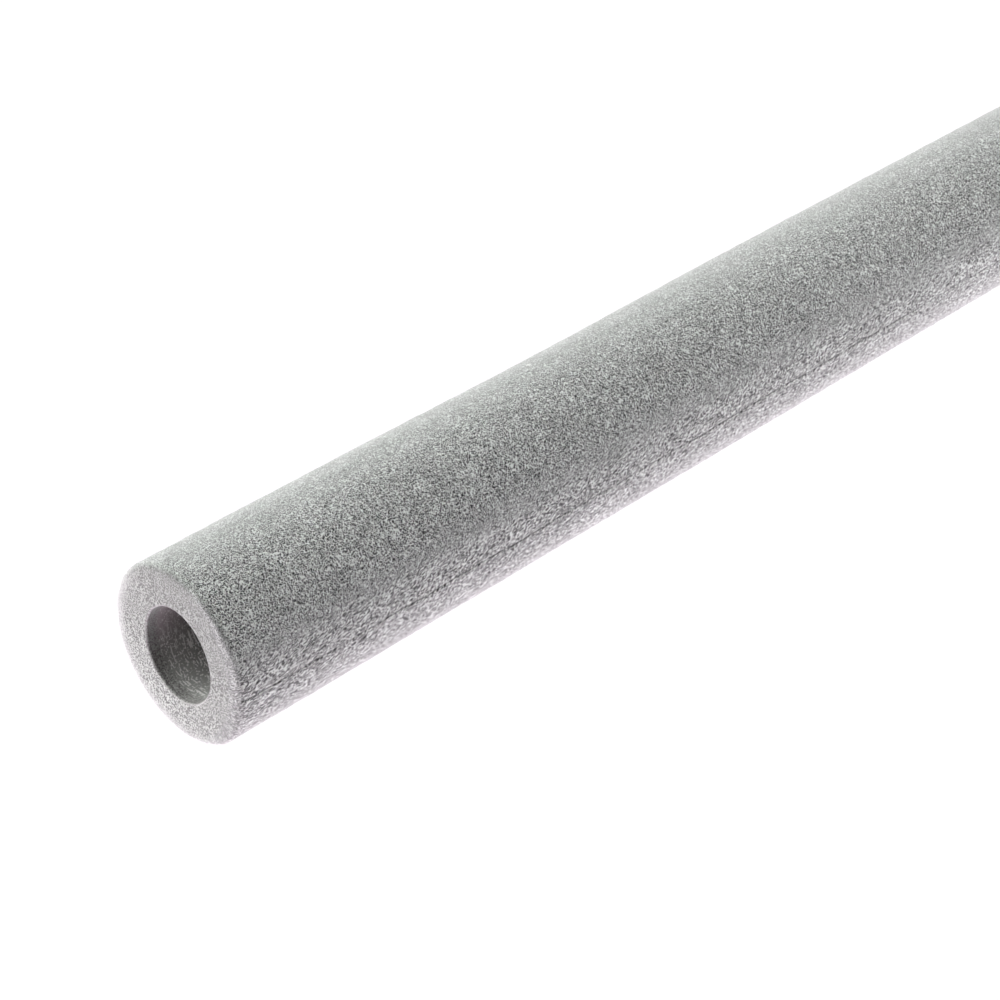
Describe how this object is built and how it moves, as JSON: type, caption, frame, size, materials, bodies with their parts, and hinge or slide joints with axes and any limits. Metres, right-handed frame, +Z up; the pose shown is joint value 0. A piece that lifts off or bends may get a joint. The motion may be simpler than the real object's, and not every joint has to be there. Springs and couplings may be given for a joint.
{
  "type": "pipe insulation lagging",
  "caption": "Grey foam tube that sleeves a straight pipe to insulate it, with a crinkled skin, square cut ends and a shallow lengthwise crease.",
  "frame": {"origin": "on the floor, at the middle of the cut end that the tube stands on", "axes": "+Z up along the tube, the crease in the skin faces -Y, and the oval bore is widest along X"},
  "size_m": [0.054, 0.054, 1],
  "materials": {
    "grey_foam": "matte"
  },
  "bodies": {
    "root": {"foam_tube": "grey_foam"}
  },
  "joints": []
}
